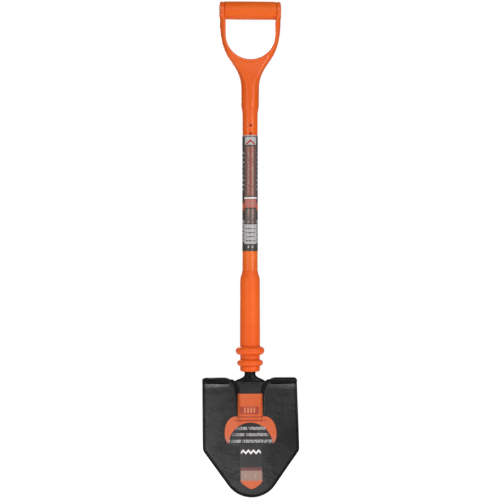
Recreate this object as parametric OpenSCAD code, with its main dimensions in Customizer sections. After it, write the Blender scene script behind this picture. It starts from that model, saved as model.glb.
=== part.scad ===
// Insulated round-point digging shovel with a D handle.
// +Z runs up the shaft, -Y is the front, hollow side of the blade and +X is to the right.
// The origin is the centre of the cross grip. All sizes are in millimetres.

/* [Cross grip] */
// Diameter of the cross grip
grip_d = 38.4; // [34:0.2:40]
// Length of the cross grip between the end bosses
grip_l = 109; // [106:0.5:114]
// Diameter of the solid rod inside the grip
grip_core_d = 16; // [12:0.5:20]

/* [Hilt] */
// Width of the hilt over its end bosses
hilt_w = 128.4; // [126:0.2:134]
// Diameter of an end boss
boss_d = 37; // [34:0.5:38]
// Radius of the round bottom of the hand opening
opening_r = 52.5; // [48:0.5:54]
// Drop from the grip's axis to the centre of that round bottom
opening_drop = 50.6; // [44:0.1:52]
// Half depth of the arms, front to back
arm_half_depth = 14; // [12:0.5:16]
// Height that the rolled rim stands proud of the arms
rim_height = 1.1; // [0.5:0.1:1.5]
// Width of the rolled rim
rim_w = 5; // [3:0.5:6]
// Outer diameter of the hilt's round socket
hilt_socket_d = 37.2; // [36.4:0.2:38]

/* [Shaft] */
// Outer diameter of the clad shaft
shaft_d = 32; // [30:0.5:33]
// Diameter of the glass-fibre core rod
core_d = 25.4; // [22:0.2:26]
// Diameter of the hilt's two cross pins
pin_d = 6.3; // [5:0.1:7]
// Height of the joint between hilt and shaft cladding
hilt_end_z = -274; // [-290:1:-266]
// Height of the top end of the shaft label
label_top_z = -262; // [-266:1:-262]
// Length of the shaft label
shaft_label_l = 243; // [200:1:260]

/* [Sleeve and guard] */
// Height of the top of the flared sleeve
sleeve_top_z = -547; // [-555:1:-540]
// Diameter of the sleeve just below its flare
sleeve_d = 41.2; // [40:0.2:42]
// Height of the top of the hand guard
guard_top_z = -704; // [-706:1:-702]
// Diameter of the upper guard flange
upper_flange_d = 60; // [50:1:64]
// Diameter of the lower guard flange
lower_flange_d = 54; // [48:1:60]

/* [Head] */
// Outer diameter of the steel cup that takes the core rod
cup_d = 35.4; // [34:0.2:36]
// Diameter of the bare steel neck
neck_d = 23.4; // [20:0.2:24]
// Thickness of the blade plate
plate_t = 2.4; // [2:0.1:3]
// Width of the blade at its side corners
blade_w = 202.5; // [200:0.5:206]
// Length of the blade from the treads' tops to its tip
blade_l = 247; // [242:1:252]
// Depth of the dish from side edges to centre line
dish = 10; // [6:1:14]
// Distance of the plate's top behind the shaft's axis
plate_back = 12; // [10:1:14]
// Forward reach of the tip from the shaft's axis
tip_reach = 50; // [40:1:60]
// Thickness of the foot treads
tread_t = 3.2; // [2.5:0.1:4]

/* [Hidden] */
$fn = 96;

// Radial clearance of parts that are fitted or bonded into one another
fit = 0.1;
// Overshoot of a cutting tool past the face it cuts
over = 1;

orange = "#ea6820";
pin_orange = "#b0420f";
black_steel = "#3a3a3a";
bare_fibre = "#d8cfae";

// Hilt levels and radii
hilt_half_w = hilt_w / 2;
throat_z = -opening_drop - opening_r;
socket_r = hilt_socket_d / 2;
shaft_r = shaft_d / 2;
core_r = core_d / 2;
core_top_z = -196;
pin_zs = [-241.5, -258.7];
pin_recess = 0.7;
cap_d = 24;
cap_t = 3;
boss_round = 3;
boss_chamfer = 0.8;

// Sleeve, guard and socket levels
sleeve_bottom_r = 21;
flare_l = 19;
cup_top_z = -573;
cup_bottom_z = -733;
cup_floor_z = -725;
neck_top_z = -752;
guard_end_z = -758;
seal_top_z = -753;
seal_d = 31;
upper_flange_z = -714;
upper_flange_half = 9;
lower_flange_z = -739.5;
lower_flange_half = 6.8;
rivet_zs = [-612, -676];
rivet_d = 6;
rivet_head_d = 10;
rivet_head_t = 2;

// Head levels
head_top_z = -771;
head_tip_z = head_top_z - blade_l;
blade_top_w = blade_w - 3;
side_l = 142;
tip_r = 61;
flank_angle = 36;
corner_r = 18;
columns = 30;
rows = 34;
label_gap = 0.1;
label_t = 0.4;
tongue_gap = 0.35;
tread_front_y = 4.5;
tread_depth = 18;

// --- Curves -------------------------------------------------------------------------

// Value between a and b
function mix(a, b, t) = a + (b - a) * t;

// Smooth step from 0 to 1 as x goes from a to b
function smooth(a, b, x) =
    let (t = max(0, min(1, (x - a) / (b - a))))
    t * t * (3 - 2 * t);

// Points along a cubic Bezier curve, without the first one
function bezier(p, steps = 14) = [
    for (i = [1 : steps])
        let (t = i / steps, s = 1 - t)
        s * s * s * p[0] + 3 * s * s * t * p[1] + 3 * s * t * t * p[2] + t * t * t * p[3]
];

// Outline of a rounded bead on a turned part, from its upper root to its lower root
function bead(centre_z, half, root_r, top_r, steps = 18) = [
    for (i = [0 : steps])
        let (s = sin(mix(-90, 90, i / steps)))
        [mix(root_r, top_r, pow(1 - pow(abs(s), 2.4), 0.6)), centre_z - half * s]
];

// --- Hilt ---------------------------------------------------------------------------

// Right half of the hilt's front outline, turned round the shaft's axis
module hilt_outline() {
    arm_top_z = 8;
    straight_z = -24;
    waist = [41.8, -105.5];
    web_end = [socket_r + 0.4, -160];
    socket_end = [socket_r - 0.1, -199];
    polygon(concat(
        [[0, arm_top_z], [hilt_half_w, arm_top_z], [hilt_half_w, straight_z]],
        bezier([[hilt_half_w, straight_z], [hilt_half_w - 0.8, -60], [57.5, -84], waist]),
        bezier([waist, [31.2, -120.5], [socket_r + 0.8, -138], web_end]),
        [socket_end],
        bezier([socket_end, [socket_r - 0.2, -208], [shaft_r, -210], [shaft_r, -219]], 8),
        [[shaft_r, hilt_end_z], [0, hilt_end_z]]
    ));
}

// Side outline that flattens the hilt's front and back
module hilt_depth_outline() {
    right = concat(
        [[arm_half_depth, 30], [arm_half_depth, -50]],
        bezier([[arm_half_depth, -50], [arm_half_depth, -80],
                [socket_r - 1.4, -110], [socket_r - 0.7, -140]], 10),
        [[socket_r + 0.14, -190], [socket_r + 2, -220], [socket_r + 2, hilt_end_z - over]]
    );
    left = [for (i = [len(right) - 1 : -1 : 0]) [-right[i][0], right[i][1]]];
    polygon(concat(right, left));
}

// Hand opening grown by a margin, as a front outline
module opening_outline(margin = 0) {
    translate([0, -opening_drop]) circle(r = opening_r + margin);
    translate([-opening_r - margin, -opening_drop]) square([2 * (opening_r + margin), opening_drop]);
}

// Stands a front outline up and gives it a depth, centred on the shaft's axis
module front_extrude(depth) {
    rotate([90, 0, 0]) linear_extrude(height = depth, center = true) children();
}

// Stands a side outline up, its first axis along Y, and gives it a width
module side_extrude(width) {
    rotate([90, 0, 90]) linear_extrude(height = width, center = true) children();
}

// One end boss of the hilt, on the +X side
module boss() {
    inner_x = grip_l / 2;
    rotate([0, 90, 0]) rotate_extrude() polygon(concat(
        [[0, inner_x], [boss_d / 2 - boss_chamfer, inner_x], [boss_d / 2, inner_x + boss_chamfer],
         [boss_d / 2, hilt_half_w - boss_round]],
        [for (a = [10 : 10 : 90])
            [boss_d / 2 - boss_round + boss_round * cos(a), hilt_half_w - boss_round + boss_round * sin(a)]],
        [[0, hilt_half_w]]
    ));
}

// Rolled rim that runs round the sides and bottom of the hand opening
module rim() {
    rim_top_z = -boss_d / 2;
    intersection() {
        front_extrude(2 * (arm_half_depth + rim_height) + 8) opening_outline(rim_w);
        side_extrude(hilt_w) offset_depth();
        translate([-hilt_half_w, -boss_d, throat_z - rim_w])
            cube([hilt_w, 2 * boss_d, rim_top_z - throat_z + rim_w]);
    }
}

// Side outline of the rim: the arms' own depth plus the rim's height
module offset_depth() {
    half = arm_half_depth + rim_height;
    bottom_half = half + 2.6;
    polygon([
        [half, 0], [half, -60], [mix(half, bottom_half, 0.35), -85], [bottom_half, -112],
        [-bottom_half, -112], [-mix(half, bottom_half, 0.35), -85], [-half, -60], [-half, 0],
    ]);
}

module hilt() {
    color(orange)
    difference() {
        union() {
            intersection() {
                rotate_extrude() hilt_outline();
                side_extrude(hilt_w + 2 * over) hilt_depth_outline();
            }
            rim();
            boss();
            mirror([1, 0, 0]) boss();
        }
        // Hand opening
        front_extrude(4 * boss_d) opening_outline();
        // Saddle that the grip lies in between the arms
        rotate([0, 90, 0]) cylinder(d = grip_d + 2 * fit, h = grip_l, center = true);
        // Bore for the grip's rod, with a counterbore for the plug at each end
        rotate([0, 90, 0]) cylinder(d = grip_core_d + 2 * fit, h = hilt_w + 2 * over, center = true);
        for (side = [-1, 1])
            translate([side * (hilt_half_w - cap_t / 2 + over / 2), 0, 0])
                rotate([0, 90, 0]) cylinder(d = cap_d + 2 * fit, h = cap_t + over, center = true);
        // Blind bore for the core rod
        translate([0, 0, hilt_end_z - over])
            cylinder(d = core_d + 2 * fit, h = core_top_z + fit - hilt_end_z + over);
        pin_holes();
    }
}

// Cross holes of the two hilt pins
module pin_holes() {
    for (z = pin_zs)
        translate([0, 0, z]) rotate([90, 0, 0])
            cylinder(d = pin_d + 2 * fit, h = 2 * shaft_d, center = true, $fn = 48);
}

// --- Cross grip ---------------------------------------------------------------------

// Hollow grip with softened ends and a slight crown
module grip_tube() {
    half = grip_l / 2 - fit;
    r = grip_d / 2;
    soft = 1.2;
    color(orange)
    rotate([0, 90, 0]) rotate_extrude() polygon([
        [grip_core_d / 2 + fit, -half], [r - soft - 0.4, -half], [r - 0.4, soft - half],
        [r - 0.1, -half / 2], [r, 0], [r - 0.1, half / 2],
        [r - 0.4, half - soft], [r - soft - 0.4, half], [grip_core_d / 2 + fit, half],
    ]);
}

module grip_core() {
    color(bare_fibre)
    rotate([0, 90, 0]) cylinder(d = grip_core_d, h = hilt_w - 2 * cap_t - 2 * fit, center = true);
}

// Round plug with a shallow dished face, on the +X side
module grip_cap() {
    dish_r = 40;
    dish_depth = 0.8;
    difference() {
        translate([hilt_half_w - cap_t, 0, 0]) rotate([0, 90, 0]) cylinder(d = cap_d, h = cap_t);
        translate([hilt_half_w + dish_r - dish_depth, 0, 0]) sphere(r = dish_r);
    }
}

module grip_cap_right() {
    color(pin_orange) grip_cap();
}

module grip_cap_left() {
    color(pin_orange) mirror([1, 0, 0]) grip_cap();
}

// --- Shaft --------------------------------------------------------------------------

module hilt_pin(z) {
    color(pin_orange)
    translate([0, 0, z]) rotate([90, 0, 0])
        cylinder(d = pin_d, h = 2 * (shaft_r - pin_recess), center = true, $fn = 48);
}

module core_rod() {
    color(bare_fibre)
    difference() {
        translate([0, 0, cup_floor_z + fit]) cylinder(d = core_d, h = core_top_z - cup_floor_z - fit);
        pin_holes();
        for (z = rivet_zs)
            translate([0, 0, z]) rotate([90, 0, 0])
                cylinder(d = rivet_d + 2 * fit, h = 2 * shaft_d, center = true, $fn = 48);
    }
}

// Upright tube between two levels
module tube(outer_r, inner_r, top_z, bottom_z) {
    translate([0, 0, bottom_z]) difference() {
        cylinder(r = outer_r, h = top_z - bottom_z);
        translate([0, 0, -over]) cylinder(r = inner_r, h = top_z - bottom_z + 2 * over);
    }
}

module shaft_tube() {
    color(orange) tube(shaft_r, core_r + fit, hilt_end_z - fit, cup_top_z + 2);
}

module shaft_label() {
    film_t = 0.25;
    color("dimgray") tube(shaft_r + fit + film_t, shaft_r + fit, label_top_z, label_top_z - shaft_label_l);
}

// --- Sleeve, guard and seal ---------------------------------------------------------

module lower_sleeve() {
    inner_r = shaft_r + fit;
    cup_bore_r = cup_d / 2 + fit;
    flare_end = [sleeve_d / 2, sleeve_top_z - flare_l];
    bottom_z = guard_top_z + fit;
    color(orange)
    rotate_extrude() polygon(concat(
        [[inner_r, sleeve_top_z], [inner_r + 0.5, sleeve_top_z]],
        bezier([[inner_r + 0.5, sleeve_top_z], [inner_r + 0.9, sleeve_top_z - 8],
                [sleeve_d / 2 - 0.3, sleeve_top_z - 10], flare_end], 10),
        [[sleeve_bottom_r, bottom_z], [cup_bore_r, bottom_z],
         [cup_bore_r, cup_top_z + 1], [inner_r, cup_top_z + 1]]
    ));
}

module hand_guard() {
    bore_r = cup_d / 2 + fit;
    lip_r = 20.8;
    lip_round = 4.5;
    mouth_r = seal_d / 2 + fit;
    color(orange)
    rotate_extrude() polygon(concat(
        [[bore_r, guard_top_z], [sleeve_bottom_r, guard_top_z]],
        bead(upper_flange_z, upper_flange_half, sleeve_bottom_r, upper_flange_d / 2),
        [[20.4, -727]],
        bead(lower_flange_z, lower_flange_half, 20.5, lower_flange_d / 2),
        [[lip_r, lower_flange_z - lower_flange_half - 2]],
        [for (a = [0 : 10 : 90])
            [lip_r - lip_round + lip_round * cos(a), guard_end_z + lip_round - lip_round * sin(a)]],
        [[mouth_r, guard_end_z], [mouth_r, seal_top_z + fit], [neck_d / 2 + 0.6, seal_top_z + fit],
         [neck_d / 2 + 0.6, neck_top_z + 0.6], [bore_r, cup_bottom_z]]
    ));
}

module neck_seal() {
    ring_r = (seal_d - neck_d) / 4;
    color("black")
    rotate_extrude() polygon([
        [neck_d / 2 + fit, seal_top_z], [seal_d / 2, seal_top_z], [seal_d / 2, guard_end_z + 0.5],
        [seal_d / 2 - ring_r, guard_end_z - 0.6], [neck_d / 2 + fit, guard_end_z - 0.6],
    ]);
}

// --- Blade --------------------------------------------------------------------------

// Depth below the treads' tops
function drop(z) = head_top_z - z;

// Y of the plate's centre line without its frog, which leans forward more and more
function base_y(d) =
    plate_back - (plate_back + tip_reach) * mix(d / blade_l, pow(d / blade_l, 2), 0.33);

// Y of the frog's crest, which carries the neck's front on and sinks back a little
function crest_y(d) = 0.5 - neck_d / 2 + 4 * smooth(5, 45, d) - 0.04 * d;

// Half width of the centre frog
function frog_half(d) = 18 * exp((8 - d) / 14) + mix(30, 17, smooth(70, 140, d));

// Forward height of the frog, which dies out smoothly where the plate reaches its crest
function frog(x, d) =
    let (
        rise = base_y(d) - crest_y(d),
        flat_share = mix(0.4, 0.62, smooth(5, 35, d))
    )
    (rise + sqrt(rise * rise + 6)) / 2 * (1 - smooth(flat_share, 1, abs(x) / frog_half(d)));

// Forward depth of the dish at a point of the blade
function dish_at(x, d) = mix(0.4, 1, smooth(0, 110, d)) * dish * pow(x / (blade_w / 2), 2);

// Backward roll of the shoulders under the treads
function roll(x, d) = 5 * pow(max(0, 1 - d / 26), 2) * smooth(30, 50, abs(x));

// Y of the blade's front face
function face_y(x, z) = let (d = drop(z)) base_y(d) + roll(x, d) - dish_at(x, d) - frog(x, d);

// Top edge of the plate: lower across the frog than under the treads
function plate_top(x) = mix(-779, head_top_z - tread_t - fit, smooth(29, 38, abs(x)));

// Bottom edge of the plate: round tip, straight flanks and rounded side corners
function plate_bottom(x) =
    let (
        a = abs(x),
        half = blade_w / 2,
        flank_x = tip_r * cos(flank_angle),
        flank_z = head_tip_z + tip_r * (1 - sin(flank_angle)),
        corner_x = half - corner_r,
        corner_start = corner_x + corner_r * cos(flank_angle),
        corner_z = flank_z + (corner_start - flank_x) / tan(flank_angle) + corner_r * sin(flank_angle)
    )
    a < flank_x ? head_tip_z + tip_r - sqrt(tip_r * tip_r - a * a)
    : a < corner_start ? flank_z + (a - flank_x) / tan(flank_angle)
    : corner_z - sqrt(max(0, pow(corner_r, 2) - pow(a - corner_x, 2)));

// Narrowing of the blade towards the treads
function side_scale(z) = mix(blade_top_w / blade_w, 1, min(1, drop(z) / side_l));

// Layer of the blade's shape between two distances behind its front face
module blade_layer(front, back) {
    xs = [for (i = [-columns : columns])
        let (t = i / columns) blade_w / 2 * mix(t, sin(90 * t), 0.55)];
    per_row = len(xs);
    face_points = [
        for (j = [0 : rows])
            for (x = xs)
                let (z = mix(plate_top(x), plate_bottom(x), j / rows), sx = x * side_scale(z))
                [sx, face_y(sx, z), z]
    ];
    count = len(face_points);
    points = concat(
        [for (p = face_points) p + [0, front, 0]],
        [for (p = face_points) p + [0, back, 0]]
    );
    cells = [for (j = [0 : rows - 1]) for (i = [0 : per_row - 2]) j * per_row + i];
    front_faces = [for (c = cells) for (f = [[c, c + 1, c + per_row + 1], [c, c + per_row + 1, c + per_row]]) f];
    back_faces = [for (f = front_faces) [f[2] + count, f[1] + count, f[0] + count]];
    top_edge = [for (i = [0 : per_row - 2]) [i, i + count, i + count + 1, i + 1]];
    low = rows * per_row;
    bottom_edge = [for (i = [low : low + per_row - 2]) [i + 1, i + count + 1, i + count, i]];
    left_edge = [for (j = [0 : rows - 1]) let (c = j * per_row) [c + per_row, c + per_row + count, c + count, c]];
    right_edge = [for (j = [0 : rows - 1])
        let (c = (j + 1) * per_row - 1) [c, c + count, c + per_row + count, c + per_row]];
    polyhedron(
        points = points,
        faces = concat(front_faces, back_faces, top_edge, bottom_edge, left_edge, right_edge),
        convexity = 6
    );
}

module blade() {
    color(black_steel) blade_layer(0, plate_t);
}

// Front outline of the blade label: a tab, a wide rounded body and a narrow pointed tail
module blade_label_outline() {
    tab_half = 27.3;
    body_half = 54.5;
    tail_half = 23.5;
    tab_top_z = -804;
    body_top_z = -851;
    body_bottom_z = -913;
    tail_end_z = -984;
    tip_z = -1001;
    shoulder = 18;
    right = concat(
        [[tab_half, tab_top_z], [tab_half, body_top_z]],
        bezier([[tab_half, body_top_z], [body_half - 8, body_top_z - 1],
                [body_half, body_top_z - shoulder], [body_half, body_top_z - 2 * shoulder]], 8),
        bezier([[body_half, body_top_z - 2 * shoulder], [body_half, body_bottom_z + 4],
                [body_half - 12, body_bottom_z], [tail_half, body_bottom_z]], 8),
        [[tail_half, tail_end_z]],
        bezier([[tail_half, tail_end_z], [tail_half - 4, tip_z + 6], [12, tip_z], [0, tip_z]], 8)
    );
    left = [for (i = [len(right) - 2 : -1 : 0]) [-right[i][0], right[i][1]]];
    polygon(concat(right, left));
}

module blade_label() {
    color("coral")
    intersection() {
        blade_layer(-label_gap - label_t, -label_gap);
        front_extrude(blade_l) blade_label_outline();
    }
}

// --- Treads -------------------------------------------------------------------------

// Front outline of the right tread: full height outside, sloping down towards the neck
module tread_outline() {
    outer_x = blade_top_w / 2;
    outer_r = 6;
    bottom_z = head_top_z - 10.5;
    polygon(concat(
        [[33, bottom_z + 2.6], [33, head_top_z - 7.6]],
        bezier([[33, head_top_z - 7.6], [40, head_top_z - 4], [46, head_top_z], [56, head_top_z]], 8),
        [for (a = [90 : -15 : 0])
            [outer_x - outer_r + outer_r * cos(a), head_top_z - outer_r + outer_r * sin(a)]],
        [[outer_x, bottom_z], [56, bottom_z]],
        bezier([[56, bottom_z], [48, bottom_z], [40, bottom_z + 1], [33, bottom_z + 2.6]], 6)
    ));
}

// Side section of a tread: a flat top with a rounded front bend and a lip hanging from it
module tread_section() {
    front_y = tread_front_y;
    back_y = front_y + tread_depth;
    bend_r = 5;
    lip_z = head_top_z - 12;
    inner_r = bend_r - tread_t;
    polygon(concat(
        [[back_y, head_top_z]],
        [for (a = [90 : 10 : 180])
            [front_y + bend_r + bend_r * cos(a), head_top_z - bend_r + bend_r * sin(a)]],
        [[front_y, lip_z], [front_y + tread_t, lip_z]],
        [for (a = [180 : -30 : 90])
            [front_y + bend_r + inner_r * cos(a), head_top_z - bend_r + inner_r * sin(a)]],
        [[back_y, head_top_z - tread_t]]
    ));
}

module tread() {
    intersection() {
        front_extrude(60) tread_outline();
        side_extrude(blade_w + 2 * over) tread_section();
    }
}

module tread_right() {
    color("#1c1c1c") tread();
}

module tread_left() {
    color("#1c1c1c") mirror([1, 0, 0]) tread();
}

// Weld fillet under a tread, along the back of the plate
module tread_weld() {
    start_x = 58;
    end_x = 94;
    under_z = head_top_z - tread_t - fit;
    leg = 4;
    color("dimgray")
    difference() {
        translate([(start_x + end_x) / 2, 0, 0]) side_extrude(end_x - start_x)
            polygon([
                [tread_front_y + 6, under_z], [tread_front_y + tread_depth - over, under_z],
                [tread_front_y + 6, under_z - 3 * leg],
            ]);
        blade_layer(-blade_w, plate_t + 0.02);
    }
}

module tread_weld_right() {
    tread_weld();
}

module tread_weld_left() {
    mirror([1, 0, 0]) tread_weld();
}

// --- Socket -------------------------------------------------------------------------

// One level of the tongue: [z, half width, front y, back y]
function tongue_level(z) =
    let (
        d = drop(z),
        flare = smooth(-9, 8, d),
        taper = smooth(10, 125, d),
        root_r = neck_d / 2 - 0.2,
        half = mix(mix(root_r, 33, pow(flare, 1.6)), 4, taper),
        front = mix(-root_r, face_y(0, z) + 1.2, smooth(2, 12, d)),
        back = mix(root_r, face_y(0, z) + plate_t + 1.5, taper)
    )
    [z, half, front, back];

// Y that a point of the tongue keeps behind, where the plate lies in front of it
function behind_plate(x, z, edge) =
    z < plate_top(x) + 0.8 ? face_y(x, z) + plate_t + tongue_gap + edge : -neck_d;

// Point of a tongue level at an angle round it
function tongue_point(level, angle) =
    let (
        x = level[1] * cos(angle),
        y = mix(level[2], level[3], (1 + sin(angle)) / 2)
    )
    [x, max(y, behind_plate(x, level[0], max(0, sin(angle)))), level[0]];

// Tongue that widens from the neck and tapers out behind the frog
module tongue() {
    start_z = head_top_z + 12;
    end_z = head_top_z - 122;
    steps = 34;
    around = 60;
    points = [
        for (i = [0 : steps])
            let (level = tongue_level(mix(start_z, end_z, pow(i / steps, 1.5))))
            for (k = [0 : around - 1]) tongue_point(level, 360 * k / around)
    ];
    last = steps * around;
    sides = [
        for (j = [0 : steps - 1])
            for (k = [0 : around - 1])
                let (a = j * around + k, b = j * around + (k + 1) % around)
                for (f = [[a, b, b + around], [a, b + around, a + around]]) f
    ];
    top = [[for (k = [around - 1 : -1 : 0]) k]];
    bottom = [[for (k = [0 : around - 1]) last + k]];
    polyhedron(points = points, faces = concat(sides, top, bottom), convexity = 6);
}

// Countersunk cross holes for the rivets
module rivet_shape(grow) {
    half = cup_d / 2 - 0.8;
    rotate([90, 0, 0]) cylinder(d = rivet_d + 2 * grow, h = 2 * half, center = true, $fn = 48);
    for (side = [-1, 1])
        rotate([side * 90, 0, 0])
            translate([0, 0, half - rivet_head_t])
                cylinder(d1 = rivet_d + 2 * grow, d2 = rivet_head_d + 2 * grow, h = rivet_head_t, $fn = 48);
}

module socket() {
    color(black_steel)
    difference() {
        union() {
            rotate_extrude() polygon([
                [0, cup_top_z], [cup_d / 2 - 1, cup_top_z], [cup_d / 2, cup_top_z - 1],
                [cup_d / 2, cup_bottom_z], [neck_d / 2, neck_top_z],
                [neck_d / 2, head_top_z + 10], [0, head_top_z + 10],
            ]);
            tongue();
        }
        translate([0, 0, cup_floor_z]) cylinder(d = core_d + 2 * fit, h = cup_top_z - cup_floor_z + over);
        for (z = rivet_zs)
            translate([0, 0, z]) {
                rivet_shape(fit);
                for (side = [-1, 1])
                    rotate([side * 90, 0, 0]) translate([0, 0, cup_d / 2 - 0.8])
                        cylinder(d = rivet_head_d + 2 * fit, h = over, $fn = 48);
            }
    }
}

module socket_rivet(z) {
    color("silver") translate([0, 0, z]) rivet_shape(0);
}

hilt();
grip_tube();
grip_core();
grip_cap_left();
grip_cap_right();
hilt_pin(pin_zs[0]);  // hilt_pin_upper
hilt_pin(pin_zs[1]);  // hilt_pin_lower
core_rod();
shaft_tube();
shaft_label();
lower_sleeve();
hand_guard();
neck_seal();
socket();
socket_rivet(rivet_zs[0]);  // socket_rivet_upper
socket_rivet(rivet_zs[1]);  // socket_rivet_lower
blade();
tread_left();
tread_right();
tread_weld_left();
tread_weld_right();
blade_label();
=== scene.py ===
"""Looks of an insulated round-point digging shovel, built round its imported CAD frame."""

import math

import bmesh
import bpy
import numpy as np
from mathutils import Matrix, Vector


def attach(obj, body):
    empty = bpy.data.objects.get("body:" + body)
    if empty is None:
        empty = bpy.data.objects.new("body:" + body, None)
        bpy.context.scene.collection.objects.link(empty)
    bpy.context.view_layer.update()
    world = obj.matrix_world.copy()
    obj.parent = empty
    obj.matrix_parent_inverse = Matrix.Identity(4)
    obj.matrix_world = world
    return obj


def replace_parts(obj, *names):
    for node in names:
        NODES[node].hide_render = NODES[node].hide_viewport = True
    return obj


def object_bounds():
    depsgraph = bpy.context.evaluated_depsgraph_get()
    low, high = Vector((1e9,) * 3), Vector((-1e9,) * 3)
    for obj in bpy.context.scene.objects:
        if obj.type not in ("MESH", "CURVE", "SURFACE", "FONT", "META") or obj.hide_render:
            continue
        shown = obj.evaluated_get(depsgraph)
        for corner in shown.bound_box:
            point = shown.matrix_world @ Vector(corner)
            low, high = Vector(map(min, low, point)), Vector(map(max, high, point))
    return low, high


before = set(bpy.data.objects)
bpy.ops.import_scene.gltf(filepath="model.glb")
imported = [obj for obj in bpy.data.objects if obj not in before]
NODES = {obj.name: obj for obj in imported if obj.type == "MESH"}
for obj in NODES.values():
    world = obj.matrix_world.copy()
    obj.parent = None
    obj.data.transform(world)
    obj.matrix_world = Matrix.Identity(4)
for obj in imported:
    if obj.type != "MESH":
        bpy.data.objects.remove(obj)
cad_low, cad_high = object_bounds()
MM = 0.001  # one millimetre in metres


# --- Numbers and curves --------------------------------------------------------------


def mix(a, b, t):
    """Value between a and b, for numbers or arrays."""
    return a + (b - a) * t


def smooth(a, b, x):
    """Smooth step from 0 to 1 as x goes from a to b."""
    t = np.clip((x - a) / (b - a), 0, 1)
    return t * t * (3 - 2 * t)


def bezier(p0, p1, p2, p3, steps=24):
    """Points along a cubic Bezier curve, both ends included, as rows of an array."""
    t = np.linspace(0, 1, steps + 1)[:, None]
    s = 1 - t
    p0, p1, p2, p3 = (np.array(p, float) for p in (p0, p1, p2, p3))
    return s**3 * p0 + 3 * s**2 * t * p1 + 3 * s * t**2 * p2 + t**3 * p3


def smax(a, b, k):
    """Larger of two distances, with the corner between them rounded over k."""
    h = np.clip(0.5 - 0.5 * (b - a) / k, 0, 1)
    return mix(b, a, h) + k * h * (1 - h)


def smin(a, b, k):
    """Smaller of two distances, with the corner between them filled over k."""
    return -smax(-a, -b, k)


def along(table, z):
    """Second column of a table of (z, value) rows at levels z, by linear interpolation."""
    rows = np.array(sorted(map(tuple, table)))
    return np.interp(z, rows[:, 0], rows[:, 1])


def rounded(profile, radii):
    """Profile with each corner that has a radius replaced by an arc-like curve."""
    points = [np.array(p, float) for p in profile]
    out = []
    for i, (p, radius) in enumerate(zip(points, radii)):
        if radius == 0 or i in (0, len(points) - 1):
            out.append(p)
            continue
        before, after = points[i - 1] - p, points[i + 1] - p
        start = p + before / np.linalg.norm(before) * radius
        end = p + after / np.linalg.norm(after) * radius
        for t in np.linspace(0, 1, 7):
            out.append((1 - t) ** 2 * start + 2 * t * (1 - t) * p + t**2 * end)
    return np.array(out)


# --- Meshes --------------------------------------------------------------------------


def link(name, data):
    """New object in the scene from a mesh, camera or light."""
    thing = bpy.data.objects.new(name, data)
    bpy.context.scene.collection.objects.link(thing)
    return thing


def smooth_shaded(mesh):
    """Turns smooth shading on for every face."""
    mesh.polygons.foreach_set("use_smooth", [True] * len(mesh.polygons))
    mesh.update()


def add_piece(name, mesh, material):
    """New smooth-shaded piece from a mesh in metres. It rides on the one body."""
    smooth_shaded(mesh)
    mesh.materials.clear()
    mesh.materials.append(material)
    piece = link(name, mesh)
    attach(piece, "root")
    return piece


def add_mesh(name, points_mm, faces, material):
    """New piece from points in millimetres."""
    mesh = bpy.data.meshes.new(name)
    points = (np.asarray(points_mm) * MM).tolist()
    mesh.from_pydata(points, [], [list(map(int, face)) for face in faces])
    mesh.validate()
    return add_piece(name, mesh, material)


def sharpen(piece, degrees=40):
    """Keeps the edges of a smooth-shaded piece sharp past an angle."""
    piece.data.set_sharp_from_angle(angle=math.radians(degrees))
    return piece


def surface_net(field, low, high, step):
    """Quad mesh of the surface where field is 0, by surface nets on a regular grid."""
    axes = [np.arange(a, b + step, step) for a, b in zip(low, high)]
    values = field(*np.meshgrid(*axes, indexing="ij"))
    cells = tuple(n - 1 for n in values.shape)
    corners = [(i, j, k) for i in (0, 1) for j in (0, 1) for k in (0, 1)]

    def corner(c):
        return values[tuple(slice(o, o + n) for o, n in zip(c, cells))]

    total = np.zeros(cells + (3,))
    count = np.zeros(cells)
    for a in corners:
        for axis in range(3):
            if a[axis]:
                continue
            b = tuple(1 if i == axis else v for i, v in enumerate(a))
            fa, fb = corner(a), corner(b)
            cross = (fa < 0) != (fb < 0)
            t = np.where(cross, fa / np.where(cross, fa - fb, 1), 0)
            for i in range(3):
                total[..., i] += np.where(cross, a[i] + t * (b[i] - a[i]), 0)
            count += cross
    active = count > 0
    index = np.full(cells, -1)
    index[active] = np.arange(active.sum())
    points = (np.argwhere(active) + total[active] / count[active][:, None]) * step + np.array(low)

    faces = []
    inside = values < 0
    for axis in range(3):
        u, v = (axis + 1) % 3, (axis + 2) % 3
        here = [slice(1, n) for n in cells]
        here[axis] = slice(0, cells[axis])
        after = list(here)
        after[axis] = slice(1, cells[axis] + 1)
        first, second = inside[tuple(here)], inside[tuple(after)]
        for starts_inside in (True, False):
            at = np.argwhere((first != second) & (first == starts_inside))
            at[:, [u, v]] += 1
            ring = []
            for du, dv in ((1, 1), (0, 1), (0, 0), (1, 0)):
                cell = at.copy()
                cell[:, u] -= du
                cell[:, v] -= dv
                ring.append(index[cell[:, 0], cell[:, 1], cell[:, 2]])
            faces.append(np.stack(ring if starts_inside else ring[::-1], axis=1))
    return points, np.concatenate(faces)


def onto_surface(field, points, passes=4, reach=0.05):
    """Moves points onto the surface where field is 0, along the field's own slope."""
    for _ in range(passes):
        slope = np.stack([
            (field(*(points + reach * e).T) - field(*(points - reach * e).T)) / (2 * reach)
            for e in np.eye(3)
        ], axis=1)
        size = np.maximum((slope**2).sum(1), 0.2)
        points = points - np.clip(field(*points.T) / size, -1, 1)[:, None] * slope
    return points


def moulded(name, field, low, high, step, material, slot):
    """Piece whose surface is where a distance field is 0."""
    points, faces = surface_net(field, low, high, step)
    return add_mesh(name, onto_surface(field, points), faces, material)


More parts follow.
